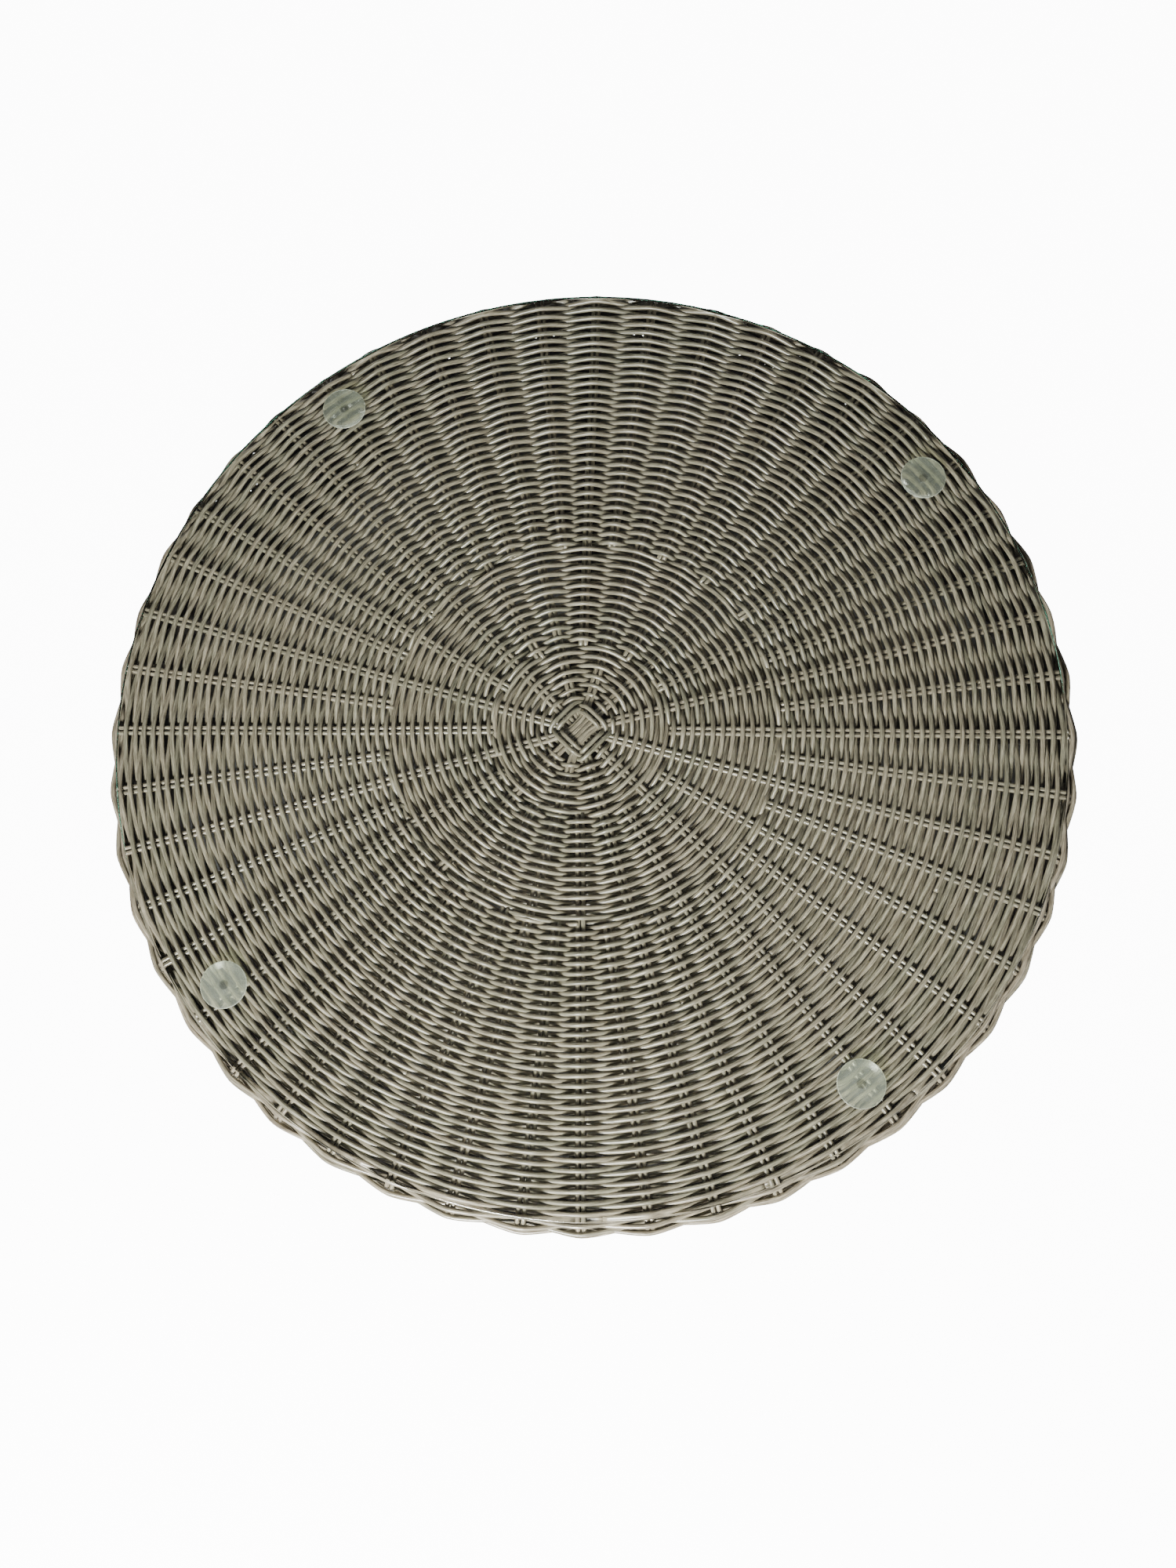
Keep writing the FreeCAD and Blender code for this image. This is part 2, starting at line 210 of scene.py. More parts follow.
def strand_material():
    """Grey-taupe resin strand: fine streaks along it, brown flecks, a satin face."""
    shader = Shader("resin_strand")
    grain = shader.attribute("grain")
    tint = shader.attribute("tint", "Fac")
    streaks = shader.noise(grain, 1.0, 4.0, 0.6)
    flecks = shader.noise(grain, 5.0, 2.0, 0.5)
    colour = shader.ramp(streaks, [
        (0.32, (0.070, 0.061, 0.045)),
        (0.44, (0.145, 0.132, 0.100)),
        (0.54, (0.208, 0.193, 0.148)),
        (0.68, (0.36, 0.335, 0.265)),
    ])
    worn = shader.mix(shader.ramp(tint, [(0.0, (0.0, 0.0, 0.0)), (1.0, (1.0, 1.0, 1.0))]),
                      (0.86, 0.87, 0.80), (1.10, 1.04, 0.97))
    colour = shader.mix(1.0, colour, worn, "MULTIPLY")
    fleck_mask = shader.ramp(flecks, [(0.60, (0.0, 0.0, 0.0)), (0.72, (1.0, 1.0, 1.0))])
    colour = shader.mix(fleck_mask, colour, shader.mix(1.0, colour, (0.62, 0.54, 0.46), "MULTIPLY"))
    surface = shader.principled(
        Base_Color=colour,
        Roughness=shader.level(streaks, 0.36, 0.22),
        Normal=shader.bump(streaks, 0.35, 0.00012),
    )
    surface.inputs["Specular IOR Level"].default_value = 0.68
    return shader.finish(surface)


def paint_material():
    """Dark brown powder coat with its fine orange-peel texture."""
    shader = Shader("powder_coat")
    place = shader.node("TexCoord").outputs["Object"]
    fine = shader.noise(place, 900.0, 2.0)
    broad = shader.noise(place, 14.0, 3.0)
    colour = shader.ramp(broad, [(0.3, (0.022, 0.018, 0.015)), (0.7, (0.045, 0.038, 0.032))])
    surface = shader.principled(
        Base_Color=colour,
        Roughness=shader.level(fine, 0.42, 0.62),
        Normal=shader.bump(fine, 0.25, 0.0002),
    )
    return shader.finish(surface)


def zinc_material():
    """Bright zinc plate on the nuts and nails."""
    shader = Shader("zinc_plate")
    place = shader.node("TexCoord").outputs["Object"]
    spangle = shader.noise(place, 260.0, 3.0)
    surface = shader.principled(
        Base_Color=shader.ramp(spangle, [(0.3, (0.42, 0.42, 0.40)), (0.7, (0.66, 0.66, 0.63))]),
        Roughness=shader.level(spangle, 0.28, 0.46),
    )
    surface.inputs["Metallic"].default_value = 1.0
    return shader.finish(surface)


def glass_material():
    """Clear float glass. Light reaches what is under it; the long way through its edge is green."""
    shader = Shader("float_glass")
    place = shader.node("TexCoord").outputs["Object"]
    smear = shader.noise(place, 9.0, 4.0)
    glass = shader.principled(
        Base_Color=shader.ramp(smear, [(0.3, (0.985, 1.0, 0.99)), (0.7, (1.0, 1.0, 1.0))]),
        Roughness=shader.level(smear, 0.0, 0.012),
    )
    glass.inputs["Transmission Weight"].default_value = 1.0
    glass.inputs["IOR"].default_value = 1.52
    mixed = shader.lit_through(glass, (0.95, 0.955, 0.95))
    absorb = shader.node("VolumeAbsorption")
    absorb.inputs["Color"].default_value = (0.10, 0.62, 0.42, 1.0)
    absorb.inputs["Density"].default_value = 3.5
    shader.link(absorb.outputs[0], shader.output.inputs["Volume"])
    return shader.finish(mixed)


def pad_material(name, low, high, transmission):
    """Soft clear plastic, slightly clouded."""
    shader = Shader(name)
    place = shader.node("TexCoord").outputs["Object"]
    cloud = shader.noise(place, 160.0, 3.0)
    surface = shader.principled(
        Base_Color=shader.ramp(cloud, [(0.35, low), (0.65, high)]),
        Roughness=shader.level(cloud, 0.10, 0.22),
    )
    surface.inputs["Transmission Weight"].default_value = transmission
    surface.inputs["IOR"].default_value = 1.35
    return shader.finish(shader.lit_through(surface, (0.82, 0.84, 0.78)))


# The floor's glow is left off a disc under the object, which paints a shade there.
PAINTED_SHADE_EDGE = RIM - 12.5 * MM                       # the shade under the object ends here


def floor_material():
    """Plain pale studio floor, lifted to white where it is seen.

    The lift is left off a disc under the object, which paints a shade there, and the floor's dark grey base
    colour, which shows only under the object, is painted shade too. The floor is clear from below, so that
    the underside can be looked at, and it lets the lamp below it through.
    """
    shader = Shader("studio_floor")
    place = shader.node("TexCoord").outputs["Object"]
    broad = shader.noise(place, 2.0, 2.0)
    # Dark grey base colour, which shows only where the glow is off: painted shade under the object.
    colour = shader.ramp(broad, [(0.3, (0.20, 0.20, 0.20)), (0.7, (0.22, 0.22, 0.22))])
    surface = shader.principled(Base_Color=colour, Emission_Color=(1.0, 1.0, 1.0))
    surface.inputs["Roughness"].default_value = 0.8
    # Glow mask: none on a disc under the object, which is a painted shade, rising to full just past the rim.
    glow_past_painted_shade = shader.level(shader.distance(place, (0.0, 0.0, 0.0)), 0.0, 1.0, PAINTED_SHADE_EDGE, RIM + 2.5 * MM)
    path = shader.node("LightPath")
    seen = shader.maths("ADD", path.outputs["Is Camera Ray"], path.outputs["Is Transmission Ray"])
    glow = shader.level(shader.maths("MULTIPLY", seen, glow_past_painted_shade), 0.0, 12.0)
    shader.link(glow, surface.inputs["Emission Strength"])
    from_below = shader.maths("MAXIMUM", shader.node("NewGeometry").outputs["Backfacing"],
                              path.outputs["Is Shadow Ray"])
    return shader.finish(shader.either(from_below, surface, shader.node("BsdfTransparent")))


# ---------------------------------------------------------------------------------------------
# Strands gathered into meshes
# ---------------------------------------------------------------------------------------------
def unit(vectors):
    """The vectors at length 1."""
    return vectors / np.linalg.norm(vectors, axis=-1, keepdims=True)


class Bundle:
    """Round strands gathered into one mesh, with the grain that their material reads."""

    def __init__(self):
        self.points, self.quads, self.caps, self.grain, self.tint = [], [], [], [], []
        self.total = 0

    def add(self, path, up, radius, closed=False, tint=None):
        """Adds one strand along path. up is the surface normal at each point."""
        count = len(path)
        if closed:
            tangent = unit(np.roll(path, -1, 0) - np.roll(path, 1, 0))
        else:
            tangent = unit(np.gradient(path, axis=0))
        across = unit(np.cross(tangent, up))
        over = np.cross(across, tangent)
        turn = np.arange(ROW_SIDES) * 2 * math.pi / ROW_SIDES
        ring = np.cos(turn)[None, :, None] * across[:, None] + np.sin(turn)[None, :, None] * over[:, None]
        radius = np.broadcast_to(radius, (count,))
        self.points.append((path[:, None] + radius[:, None, None] * ring).reshape(-1, 3))
        steps = np.linalg.norm(np.diff(path, axis=0), axis=1)
        along = np.concatenate([[0.0], np.cumsum(steps)]) / GRAIN_LENGTH + rng.uniform(0, 500)
        lane = rng.uniform(0, 50)
        grain = np.empty((count, ROW_SIDES, 3))
        grain[..., 0] = along[:, None]
        grain[..., 1] = GRAIN_ROUND * np.cos(turn)[None] + lane
        grain[..., 2] = GRAIN_ROUND * np.sin(turn)[None]
        self.grain.append(grain.reshape(-1, 3))
        shade = rng.uniform(0, 1) if tint is None else tint
        self.tint.append(np.full(count * ROW_SIDES, shade))
        self.join(count, closed)
        if not closed:
            self.cap(path[0], 0, True)
            self.cap(path[-1], count - 1, False)
        self.total = sum(map(len, self.points))

    def join(self, count, closed):
        """The quads round a strand."""
        rows = np.arange(count if closed else count - 1)
        nexts = (rows + 1) % count
        side = np.arange(ROW_SIDES)
        after = (side + 1) % ROW_SIDES
        a = rows[:, None] * ROW_SIDES + side
        b = nexts[:, None] * ROW_SIDES + side
        c = nexts[:, None] * ROW_SIDES + after
        d = rows[:, None] * ROW_SIDES + after
        self.quads.append(np.stack([a, b, c, d], -1).reshape(-1, 4) + self.total)

    def cap(self, centre, ring, first):
        """The cut face at one end of a strand."""
        tip = sum(map(len, self.points))
        self.points.append(centre[None])
        self.grain.append(self.grain[-1][:1])
        self.tint.append(self.tint[-1][:1])
        side = np.arange(ROW_SIDES)
        after = (side + 1) % ROW_SIDES
        base = self.total + ring * ROW_SIDES
        pair = (side, after) if first else (after, side)
        self.caps.append(np.stack([np.full(ROW_SIDES, tip), base + pair[0], base + pair[1]], -1))

    def build(self, name, material):
        """The finished object."""
        points = np.concatenate(self.points)
        quads = np.concatenate(self.quads)
        caps = np.concatenate(self.caps) if self.caps else np.empty((0, 3), int)
        corners = np.concatenate([quads.ravel(), caps.ravel()])
        starts = np.concatenate([np.arange(len(quads)) * 4, len(quads) * 4 + np.arange(len(caps)) * 3])
        mesh = bpy.data.meshes.new(name)
        mesh.vertices.add(len(points))
        mesh.vertices.foreach_set("co", points.ravel())
        mesh.loops.add(len(corners))
        mesh.loops.foreach_set("vertex_index", corners)
        mesh.polygons.add(len(starts))
        mesh.polygons.foreach_set("loop_start", starts)
        smooth = np.concatenate([np.ones(len(quads), bool), np.zeros(len(caps), bool)])
        mesh.polygons.foreach_set("use_smooth", smooth)
        mesh.update()
        grain = mesh.attributes.new("grain", "FLOAT_VECTOR", "POINT")
        grain.data.foreach_set("vector", np.concatenate(self.grain).ravel())
        tint = mesh.attributes.new("tint", "FLOAT", "POINT")
        tint.data.foreach_set("value", np.concatenate(self.tint))
        mesh.materials.append(material)
        piece = bpy.data.objects.new(name, mesh)
        bpy.context.scene.collection.objects.link(piece)
        return piece


# ---------------------------------------------------------------------------------------------
# The woven surface. A run is the distance along a stake from the centre, over the rim and down.
# ---------------------------------------------------------------------------------------------
DRIFT = [(cycles, rng.uniform(18, 40) * MM, rng.uniform(0, 2 * math.pi)) for cycles in (2, 3, 5, 7, 11)]
DRIFT_SIZE = 0.22 * MM
STAKE_JITTER = rng.uniform(-1, 1, PAIRS) * math.radians(0.35)


def drift(run, angle):
    """Slow wander of the rows, shared by neighbours."""
    total = 0.0
    for cycles, wave, phase in DRIFT:
        total = total + np.sin(cycles * angle + run / wave + phase) / math.sqrt(cycles)
    return DRIFT_SIZE * total


def surface(run, angle, lift):
    """A point of the woven surface, raised by lift along its normal, and that normal."""
    turn = np.clip((run - BEND_START) / BEND_R, 0, math.pi / 2)
    drop = np.clip(run - BEND_END, 0, None)
    radius = np.minimum(run, BEND_START) + (BEND_R + lift) * np.sin(turn)
    height = SIDE_TOP + (BEND_R + lift) * np.cos(turn) - drop
    inward = np.clip(1 - run / BEND_START, 0, 1)
    x = radius * np.cos(angle) + CENTRE_SHIFT[0] * inward
    y = radius * np.sin(angle) + CENTRE_SHIFT[1] * inward
    normal = np.stack([np.sin(turn) * np.cos(angle), np.sin(turn) * np.sin(angle), np.cos(turn)], -1)
    return np.stack([x, y, height], -1), normal


def stake_angle(index, run):
    """Angle of a stake pair at a run. Pairs are numbered from +X, PAIRS to the turn."""
    straight = 2 * math.pi * index / PAIRS
    growth = np.clip(run / (130 * MM), 0, 1)
    lean = LEAN * (1 + growth * np.cos(straight - LEAN_MOST)) + growth * STAKE_JITTER[index % PAIRS]
    return straight + lean * np.clip(run / (50 * MM), 0, 1)


DRAWN_FROM, DRAWN_TO = -1200, 400                  # a spiral's lengths are drawn between these stake pairs
DRAWN_SPARE = 100


class Zone:
    """Rows woven by strands that chase each other outward, clockwise, in one long spiral.

    couples is how many couples of strands share the spiral. crest places it, and swings are the size and
    heading of its first, second and third waves round the top.
    """

    def __init__(self, stakes, couples, crest, swings, low, high, per_step):
        self.stakes = stakes
        self.couples = couples
        self.crest = crest * MM
        self.swings = swings
        self.low = low
        self.high = high
        self.per_step = per_step
        self.pieces = {}
        self.wobble = {}

    def heading(self, u):
        """Angle round the top after u stake pairs."""
        spacing = (self.stakes[1] - self.stakes[0]) / PAIRS
        return 2 * math.pi * (self.stakes[0] / PAIRS + spacing * u)

    def run(self, strand, u):
        """How far out a strand lies after u stake pairs."""
        round_top = self.heading(u)
        place = self.crest + ROW_PITCH * (strand - self.couples * round_top / math.pi)
        for wave, (size, heading) in enumerate(self.swings, 1):
            place = place + size * MM * np.cos(wave * round_top - math.radians(heading))
        return place + drift(place, round_top)

    def angle(self, u, run):
        """Angle of a row, which follows the leaning stakes."""
        count = len(self.stakes)
        before = np.floor(u).astype(int)
        part = u - before
        pairs = np.array(self.stakes)
        first, second = pairs[before % count], pairs[(before + 1) % count]
        lean_first = stake_angle(first, run) - 2 * math.pi * first / PAIRS
        lean_second = stake_angle(second, run) - 2 * math.pi * second / PAIRS
        return self.heading(u) + lean_first * (1 - part) + lean_second * part

    def lengths(self, strand):
        """The lengths that a strand is joined from: their starts, always under a pair, radii and tints."""
        if strand not in self.pieces:
            places = [DRAWN_FROM]
            while places[-1] < DRAWN_TO:
                step = places[-1] + rng.uniform(35, 150)
                places.append(2 * round((step - strand) / 2) + strand + 1)
            self.pieces[strand] = [
                (place, ROW_R * rng.uniform(0.96, 1.03), rng.uniform(0, 1)) for place in places
            ]
            self.wobble[strand] = rng.normal(0, 1, (2, DRAWN_TO - DRAWN_FROM + 2 * DRAWN_SPARE))
        return self.pieces[strand]

    def wander(self, strand, u):
        """How far a strand strays upward and outward, in units that change at each stake pair."""
        low = np.floor(u).astype(int)
        part = (1 - np.cos(math.pi * (u % 1))) / 2
        heights = self.wobble[strand]
        first = low - DRAWN_FROM + DRAWN_SPARE
        return heights[:, first] * (1 - part) + heights[:, first + 1] * part


def over_under(u, parity, step):
    """Height of a row between -1 and 1: nearly straight runs, rounded where they cross a stake pair."""
    rounding = np.minimum(4.5 * MM, 0.3 * step)
    near = np.round(u)
    away = np.abs(u - near) * step
    fall = (np.hypot(away, rounding) - rounding) / (np.hypot(step / 2, rounding) - rounding)
    sign = 1 - 2 * ((near + parity) % 2)
    return sign * (1 - fall)


def add_length(bundle, zone, strand, u, radius, tint):
    """Part of one length of a strand, over and under the stake pairs. It dives where its zone ends."""
    run = zone.run(strand, u)
    upward, outward = zone.wander(strand, u)
    step = 2 * math.pi * np.minimum(run, MID_RADIUS) / len(zone.stakes)
    lift = LIFT * over_under(u, strand, step) + STRAY_UP * upward
    along = (u - u[0]) * step
    for end, away in ((0, along), (-1, along[-1] - along)):
        if min(abs(run[end] - zone.low), abs(run[end] - zone.high)) < 0.8 * MM:
            lift = lift - DIVE * np.clip(1 - away / DIVE_LENGTH, 0, 1)
    path, normal = surface(run + STRAY_OUT * outward, zone.angle(u, run), lift)
    bundle.add(path, normal, radius, tint=tint)


def add_rows(bundle, zone, low, high):
    """The part of a zone's spiral whose run is between low and high."""
    per_turn = 2 * zone.couples * ROW_PITCH
    count = len(zone.stakes)
    margin = 10 * MM
    for strand in range(2 * zone.couples):
        begin = zone.crest + ROW_PITCH * strand
        first = math.floor((begin - high - margin) / per_turn * count) - count
        last = math.ceil((begin - low + margin) / per_turn * count) + count
        lengths = zone.lengths(strand)
        for (place, radius, tint), (end, _, _) in zip(lengths, lengths[1:]):
            start, end = max(place, first), min(end, last)
            u = np.arange(start * zone.per_step, end * zone.per_step + 1) / zone.per_step
            if len(u) < 4:
                continue
            run = zone.run(strand, u)
            inside = np.flatnonzero((run >= low) & (run < high))
            for part in np.split(inside, np.flatnonzero(np.diff(inside) > 1) + 1):
                if len(part) > 3:
                    reach = min(part[-1] + 2, len(u))
                    add_length(bundle, zone, strand, u[part[0]:reach], radius, tint)


def every(step, first=0):
    """Numbers of every second or fourth stake pair."""
    return list(range(first, PAIRS, step))


def stake_path(index, offset, start):
    """Centre line of one strand of a stake pair, from a run to the foot of the side."""
    flat = np.arange(start, BEND_START, 5 * MM)
    bend = np.linspace(BEND_START, BEND_END, 9)
    side = np.linspace(BEND_END, STAKE_END, 8)[1:]
    run = np.concatenate([flat, bend, side])
    angle = stake_angle(index, run)
    wobble = 0.14 * MM * np.sin(run / (19 * MM) + rng.uniform(0, 2 * math.pi))
    path, normal = surface(run, angle, wobble)
    tangential = np.stack([-np.sin(angle), np.cos(angle), np.zeros_like(angle)], -1)
    spread = offset * (1 + 0.10 * np.sin(run / (31 * MM) + rng.uniform(0, 2 * math.pi)))
    return path + tangential * spread[:, None], normal


def add_stakes(bundle, indices, start):
    """Both strands of each of these stake pairs."""
    for index in indices:
        for offset in (-PAIR_OFFSET, PAIR_OFFSET):
            begin = start + rng.uniform(-1.5, 1.5) * MM
            path, normal = stake_path(index, offset, begin)
            bundle.add(path, normal, STAKE_R)


# ---------------------------------------------------------------------------------------------
# The centre cross
# ---------------------------------------------------------------------------------------------
CROSS_HEADING = math.radians(45)
CROSS_LANES = np.array([-5.5, -3.95, -1.32, 1.32, 3.95, 5.5]) * MM      # where the six strands lie
CROSS_DROP = np.array([1.0, 0.0, 0.0, 0.0, 0.0, 1.0]) * MM              # the outer two lie lower
BLOCK_HALF = 9.0 * MM


def relaxed(path, rounds):
    """A path with its corners eased; its ends stay."""
    for _ in range(rounds):
        path = path.copy()
        path[1:-1] = 0.25 * path[:-2] + 0.5 * path[1:-1] + 0.25 * path[2:]
    return path


def through_stake(heading, lane, level):
    """A stake that crosses the centre block and runs down the side at both ends."""
    step = 2 * math.pi / FIRST_PAIRS
    fan = (lane // 2 - 1) * step
    offset = PAIR_OFFSET if lane % 2 else -PAIR_OFFSET
    near = round((heading + fan) / (2 * math.pi) * PAIRS)
    far = round((heading + math.pi - fan) / (2 * math.pi) * PAIRS)
    arm_near, up_near = stake_path(near, offset, FAN_RADIUS)
    arm_far, up_far = stake_path(far, -offset, FAN_RADIUS)
    places = np.linspace(BLOCK_HALF, -BLOCK_HALF, 7)
    along = np.array([math.cos(heading), math.sin(heading)])
    left = np.array([-math.sin(heading), math.cos(heading)])
    block = np.empty((len(places), 3))
    block[:, :2] = places[:, None] * along + CROSS_LANES[lane] * left + np.array(CENTRE_SHIFT)
    drop = CROSS_DROP[lane] if level > 0 else 0.0
    block[:, 2] = MID_Z + level * STAKE_R - drop
    middle = relaxed(np.concatenate([arm_near[3::-1], block, arm_far[:4]]), 2)
    path = np.concatenate([arm_near[:3:-1], middle, arm_far[4:]])
    flat_up = np.tile([0.0, 0.0, 1.0], (len(middle), 1))
    return path, np.concatenate([up_near[:3:-1], flat_up, up_far[4:]])


def square_round(along, across, power, parity, rise):
    """A strand that twines round the cross: over two opposite arms and under the other two."""
    u = np.linspace(0, 4, 160, endpoint=False)
    turn = u * math.pi / 2
    reach = (np.abs(np.cos(turn) / along) ** power + np.abs(np.sin(turn) / across) ** power) ** (-1 / power)
    angle = turn + CROSS_HEADING
    away = np.abs(u - np.round(u))
    part = np.clip((away - 0.24) / 0.26, 0, 1)
    sign = 1 - 2 * ((np.round(u) + parity) % 2)
    height = MID_Z + rise * sign * np.cos(math.pi / 2 * part)
    x = reach * np.cos(angle) + CENTRE_SHIFT[0]
    y = reach * np.sin(angle) + CENTRE_SHIFT[1]
    return np.stack([x, y, height], -1)


def make_cross(material):
    """Six stakes over six, bound by two square rounds of two strands each."""
    over = Bundle()
    under = Bundle()
    for lane in range(len(CROSS_LANES)):
        path, up = through_stake(CROSS_HEADING, lane, 1)
        over.add(path, up, STAKE_R, tint=0.95)
        path, up = through_stake(CROSS_HEADING + math.pi / 2, lane, -1)
        under.add(path, up, STAKE_R)
    wraps = Bundle()
    for along, across, power, parity, rise in (            # half sides, squareness, which arms, height
        (10.4, 11.2, 9, 1, 3.3),
        (9.6, 10.2, 5, 0, 4.2),
        (14.6, 15.1, 7, 1, 3.4),
        (13.6, 14.0, 4, 0, 3.9),
    ):
        path = square_round(along * MM, across * MM, power, parity, rise * MM)
        wraps.add(path, np.tile([0.0, 0.0, 1.0], (len(path), 1)), ROW_R * 0.96, closed=True)
    return [
        (over.build("cross_stakes_upper", material), "cross_stakes_over"),
        (under.build("cross_stakes_lower", material), "cross_stakes_under"),
        (wraps.build("cross_wraps", material), "centre_wraps"),
    ]


# ---------------------------------------------------------------------------------------------
# Rows, border
# ---------------------------------------------------------------------------------------------
def make_rows(material):
    """Every woven zone, from the centre to the foot of the side."""
    inner = Zone(every(4, 2), 1, 4.9, ((2.9, 134), (0.6, 108)), FIRST_ROW, INNER_EDGE + 0.5 * MM, 18)
    middle = Zone(every(2), 1, 5.3, ((2.8, 137), (0.5, 32), (0.3, 89)),
                  INNER_EDGE - 0.5 * MM, MIDDLE_EDGE + 0.5 * MM, 14)
    outer = Zone(every(1), 3, 2.2, ((3.7, -163), (1.4, 62), (1.05, 112)),
                 MIDDLE_EDGE - 0.5 * MM, FOOT_RUN - 0.5 * MM, 12)
    third = (BEND_START - MIDDLE_EDGE) / 3
    parts = [
        ("rows_inner", "weave_inner", inner, inner.low, inner.high),
        ("rows_middle", "weave_middle", middle, middle.low, middle.high),
        ("rows_outer_1", "weave_outer", outer, outer.low, MIDDLE_EDGE + third),
        ("rows_outer_2", "weave_outer", outer, MIDDLE_EDGE + third, MIDDLE_EDGE + 2 * third),
        ("rows_outer_3", "weave_outer", outer, MIDDLE_EDGE + 2 * third, BEND_START),
        ("rows_shoulder", "weave_shoulder", outer, BEND_START, BEND_END),
        ("rows_side", "weave_side", outer, BEND_END, outer.high),
    ]
    made = []
    for name, node, zone, low, high in parts:
        bundle = Bundle()
        add_rows(bundle, zone, low, high)
        made.append((bundle.build(name, material), node))
    return made


def make_stakes(material):
    """The stake pairs inserted where a zone begins."""
    second = Bundle()
    add_stakes(second, every(4), INNER_EDGE - 1.0 * MM)
    third = Bundle()
    add_stakes(third, every(2, 1), MIDDLE_EDGE - 1.0 * MM)
    return [
        (second.build("stakes_second", material), "second_stakes"),
        (third.build("stakes_third", material), "third_stakes"),
    ]


def make_border(material):
    """Rope border at the foot: four strands twisted round the foot of the side."""
    bundle = Bundle()
    strands = 4
    rope_r = 3.0 * MM
    turns = 74
    count = turns * 12
    t = np.arange(count) / count * 2 * math.pi
    centre_z = border_low.z + rope_r + ROW_R + 0.05 * MM
    for k in range(strands):
        twist = turns * t + k * 2 * math.pi / strands
        radius = MID_RADIUS + rope_r * np.cos(twist)
        height = centre_z + rope_r * np.sin(twist)
        path = np.stack([radius * np.cos(t), radius * np.sin(t), height], -1)
        normal = np.stack([np.cos(twist) * np.cos(t), np.cos(twist) * np.sin(t), np.sin(twist)], -1)
        bundle.add(path, normal, ROW_R, closed=True)
    return [(bundle.build("border_rope", material), "foot_border")]


# ---------------------------------------------------------------------------------------------
# Glass plate and pads, turned profiles
# ---------------------------------------------------------------------------------------------
def turned(name, profile, centre, segments, materials, bands):
    """A solid turned round a vertical axis from (radius, height) points. bands says each row's material."""
    points = []
    faces = []
    slots = []
    angles = [2 * math.pi * k / segments for k in range(segments)]
    starts = []
    for radius, height in profile:
        starts.append(len(points))
        if radius == 0:
            points.append((centre.x, centre.y, height))
        else:
            points += [
                (centre.x + radius * math.cos(a), centre.y + radius * math.sin(a), height) for a in angles
            ]
    for row in range(len(profile) - 1):
        low, high = starts[row], starts[row + 1]
        for k in range(segments):
            n = (k + 1) % segments
            if profile[row][0] == 0:
                face = (low, high + n, high + k)
            elif profile[row + 1][0] == 0:
                face = (low + k, low + n, high)
            else:
                face = (low + k, low + n, high + n, high + k)
            faces.append(face)
            slots.append(bands[row])
    mesh = bpy.data.meshes.new(name)
    mesh.from_pydata(points, [], faces)
    for material in materials:
        mesh.materials.append(material)
    mesh.polygons.foreach_set("material_index", slots)
    mesh.polygons.foreach_set("use_smooth", [True] * len(faces))
    mesh.update()
    piece = bpy.data.objects.new(name, mesh)
    bpy.context.scene.collection.objects.link(piece)
    return piece


def eased_profile(radius, low, high, ease, steps):
    """Profile of a disc whose two rims are rounded, from the bottom centre to the top centre."""
    profile = [(0.0, low), (radius - ease - 1.5 * MM, low)]
    for k in range(steps + 1):
        a = -math.pi / 2 + math.pi / 2 * k / steps
        profile.append((radius - ease + ease * math.cos(a), low + ease + ease * math.sin(a)))
    for k in range(steps + 1):
        a = math.pi / 2 * k / steps
        profile.append((radius - ease + ease * math.cos(a), high - ease + ease * math.sin(a)))
    profile += [(radius - ease - 1.5 * MM, high), (0.0, high)]
    return profile


def make_glass(material):
    """The plate, with its two rims rounded."""
    low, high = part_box("glass_plate")
    radius = (high.x - low.x) / 2
    profile = eased_profile(radius, low.z, high.z, 1.2 * MM, 4)
    plate = turned("glass_top_plate", profile, Vector((0, 0, 0)), 256, [material], [0] * len(profile))
    return [(plate, "glass_plate")]


def make_pads():
    """Four suction pads: a foot, a rim band made less clear, which paints a bright line on it, and a shallow
    cup with a nub.
    """
    clear = pad_material("pad_clear", (0.66, 0.70, 0.60), (0.80, 0.84, 0.72), 0.90)
    # Painted highlight: the rim band is less clear than the cup, so that it shows as a bright line where
    # light scatters in the pad's edge.
    rim = pad_material("pad_rim_painted_highlight", (0.64, 0.67, 0.56), (0.74, 0.77, 0.65), 0.70)
    nub = pad_material("pad_nub", (0.40, 0.42, 0.37), (0.50, 0.52, 0.46), 0.92)
    made = []
    for k in range(4):
        low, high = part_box(f"suction_pad_{k + 1}")
        centre = (low + high) / 2
        radius = (high.x - low.x) / 2
        top = high.z - 0.03 * MM
        lip = top - 0.7 * MM
        profile = [
            (0.0, low.z), (2.6 * MM, low.z), (radius - 4.5 * MM, low.z),
            (radius - 4.0 * MM, low.z + 0.15 * MM),
            (radius - 0.4 * MM, lip), (radius, lip + 0.2 * MM), (radius, top - 0.2 * MM),
            (radius - 0.35 * MM, top), (radius - 2.4 * MM, top), (3.6 * MM, top - 0.6 * MM),
            (2.8 * MM, top - 0.3 * MM), (0.0, top - 0.25 * MM),
        ]
        bands = [2, 0, 0, 0, 1, 1, 1, 0, 0, 0, 2]
        pad = turned(f"clear_pad_{k + 1}", profile, centre, 72, [clear, rim, nub], bands)
        made.append((pad, f"suction_pad_{k + 1}"))
    return made


# ---------------------------------------------------------------------------------------------
# Studio
# ---------------------------------------------------------------------------------------------
def make_floor():
    """A wide flat floor at the foot of the object."""
    mesh = bpy.data.meshes.new("floor")
    half = 6.0
    corners = [(-half, -half, 0), (half, -half, 0), (half, half, 0), (-half, half, 0)]
    mesh.from_pydata(corners, [], [(0, 1, 2, 3)])
    mesh.materials.append(floor_material())
    floor = bpy.data.objects.new("floor", mesh)
    bpy.context.scene.collection.objects.link(floor)


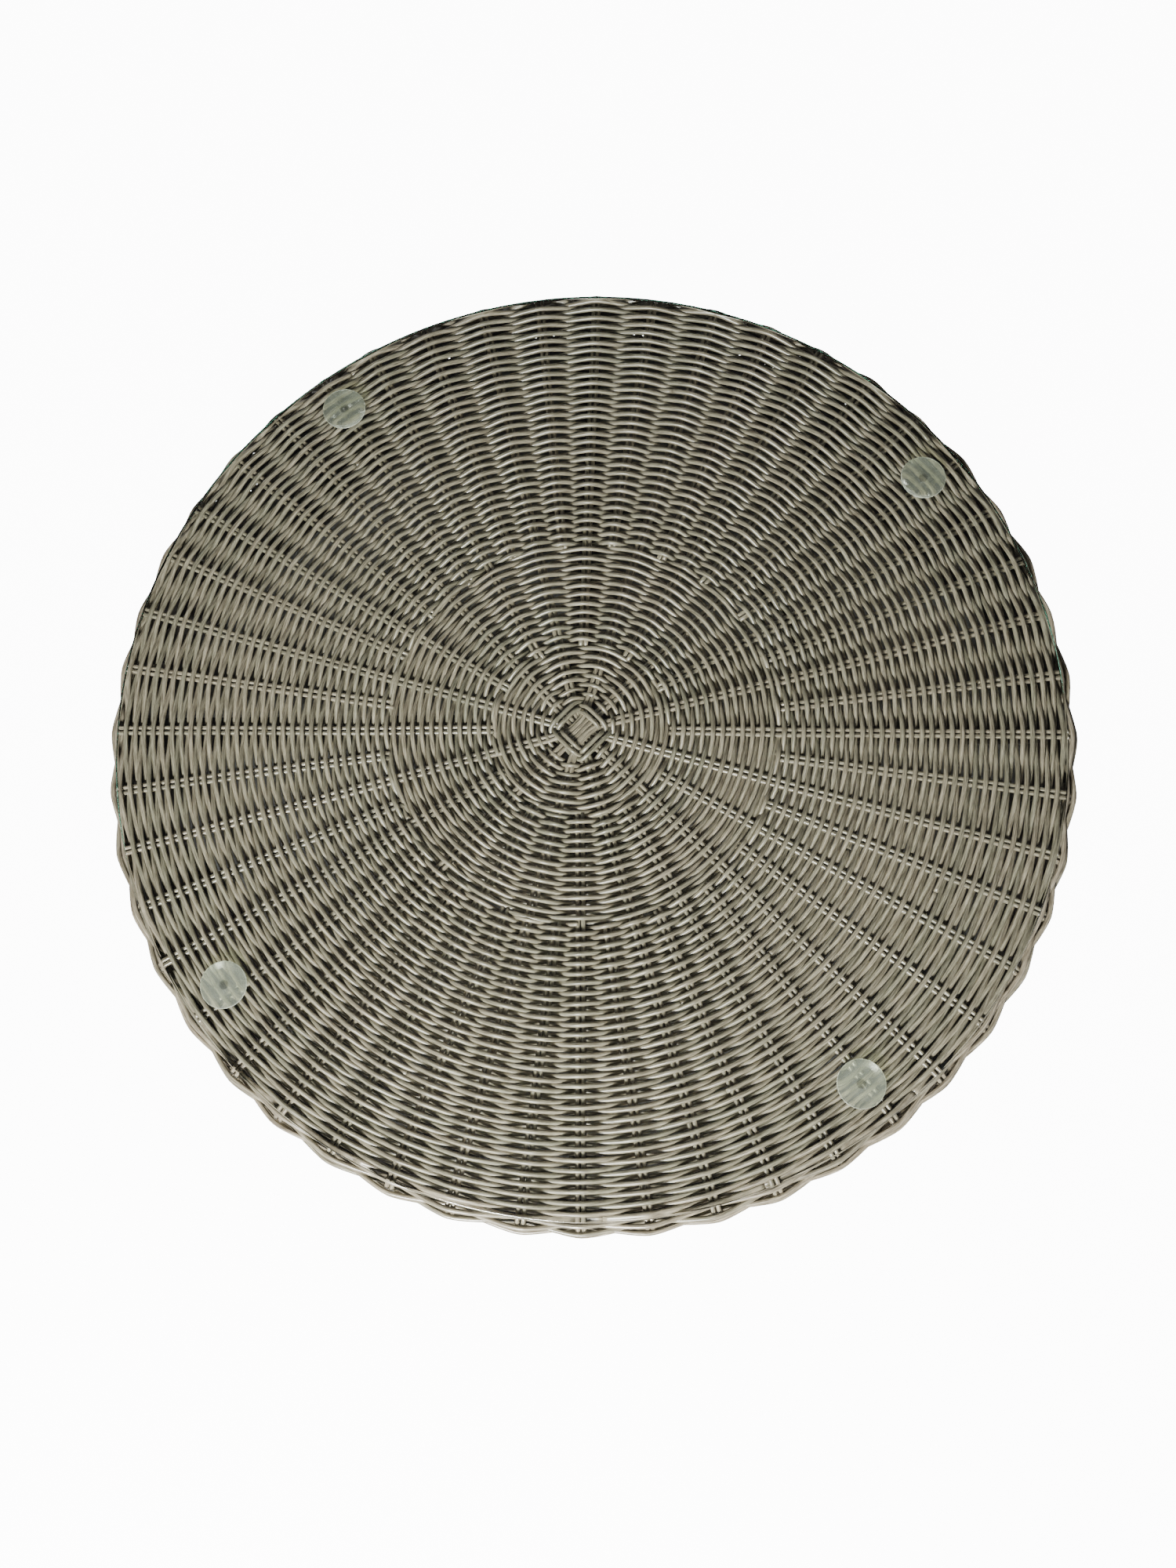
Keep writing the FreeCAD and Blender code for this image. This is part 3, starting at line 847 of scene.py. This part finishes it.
def area_light(name, place, size, power, colour=(1.0, 1.0, 1.0)):
    """A round lamp that faces the middle of the foot plane."""
    light = bpy.data.lights.new(name, "AREA")
    light.shape = "DISK"
    light.size = size
    light.energy = power
    light.color = colour
    lamp = bpy.data.objects.new(name, light)
    lamp.location = place
    lamp.rotation_mode = "QUATERNION"
    lamp.rotation_quaternion = (-Vector(place)).to_track_quat("-Z", "Y")
    lamp.visible_camera = False
    bpy.context.scene.collection.objects.link(lamp)


def make_world():
    """Pale where it is looked at directly, and dim as a light, so that the glass has little to reflect."""
    world = bpy.data.worlds.new("studio")
    world.use_nodes = True
    bpy.context.scene.world = world
    tree = world.node_tree
    place = tree.nodes.new("ShaderNodeTexCoord")
    split = tree.nodes.new("ShaderNodeSeparateXYZ")
    ramp = tree.nodes.new("ShaderNodeValToRGB")
    ramp.color_ramp.elements[0].position = 0.35
    ramp.color_ramp.elements[0].color = (0.11, 0.11, 0.11, 1.0)
    ramp.color_ramp.elements[1].position = 0.80
    ramp.color_ramp.elements[1].color = (0.04, 0.04, 0.04, 1.0)
    tree.links.new(place.outputs["Generated"], split.inputs["Vector"])
    tree.links.new(split.outputs["Z"], ramp.inputs["Fac"])
    tree.links.new(ramp.outputs["Color"], tree.nodes["Background"].inputs["Color"])
    path = tree.nodes.new("ShaderNodeLightPath")
    pale = tree.nodes.new("ShaderNodeBackground")
    pale.inputs["Color"].default_value = (6.0, 6.0, 6.0, 1.0)
    seen = tree.nodes.new("ShaderNodeMixShader")
    tree.links.new(path.outputs["Is Camera Ray"], seen.inputs["Fac"])
    tree.links.new(tree.nodes["Background"].outputs[0], seen.inputs[1])
    tree.links.new(pale.outputs[0], seen.inputs[2])
    tree.links.new(seen.outputs[0], tree.nodes["World Output"].inputs["Surface"])


def make_camera():
    """Looks down on the table top from a little to the front and right of its middle."""
    data = bpy.data.cameras.new("camera")
    data.sensor_fit = "VERTICAL"
    data.sensor_height = 36.0
    data.lens = 27.0
    camera = bpy.data.objects.new("camera", data)
    place = Vector((31.9, -190.2, 738.4)) * MM + Vector((0, 0, SIDE_TOP))
    lean_right = Matrix.Rotation(math.radians(2.3778), 4, "Y")
    lean_front = Matrix.Rotation(math.radians(11.8074), 4, "X")
    camera.matrix_world = Matrix.Translation(place) @ lean_right @ lean_front
    bpy.context.scene.collection.objects.link(camera)
    bpy.context.scene.camera = camera


def dress(starts, material):
    """Gives a material to the CAD nodes whose names start this way."""
    for name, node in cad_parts.items():
        if name.startswith(starts):
            node.data.materials.clear()
            node.data.materials.append(material)


def main():
    """Every piece, its material and the studio."""
    strand = strand_material()
    woven = make_cross(strand) + make_stakes(strand) + make_rows(strand) + make_border(strand)
    groups = [
        (woven, "woven_top", "strand"),
        (make_glass(glass_material()), "glass_top", "glass"),
        (make_pads(), "glass_top", "pad"),
    ]
    for pieces, body, slot in groups:
        for piece, node in pieces:
            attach(piece, body)
            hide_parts(node)
    steel = ("rim_ring", "foot_ring", "post_", "cross_bar", "corner_rail", "hoop_arc", "leg_plate")
    dress(steel, paint_material())
    dress(("leg_nut", "border_nails"), zinc_material())
    make_floor()
    make_world()
    make_camera()
    area_light("key", (-0.22, -0.86, 0.66), 0.28, 44, (1.0, 0.995, 0.97))
    area_light("under", (0.5, -0.6, -1.2), 1.0, 12)
    area_light("fill", (2.4, -0.9, 1.4), 1.2, 8)
    area_light("back", (-1.2, 2.6, 1.2), 1.2, 8)


main()
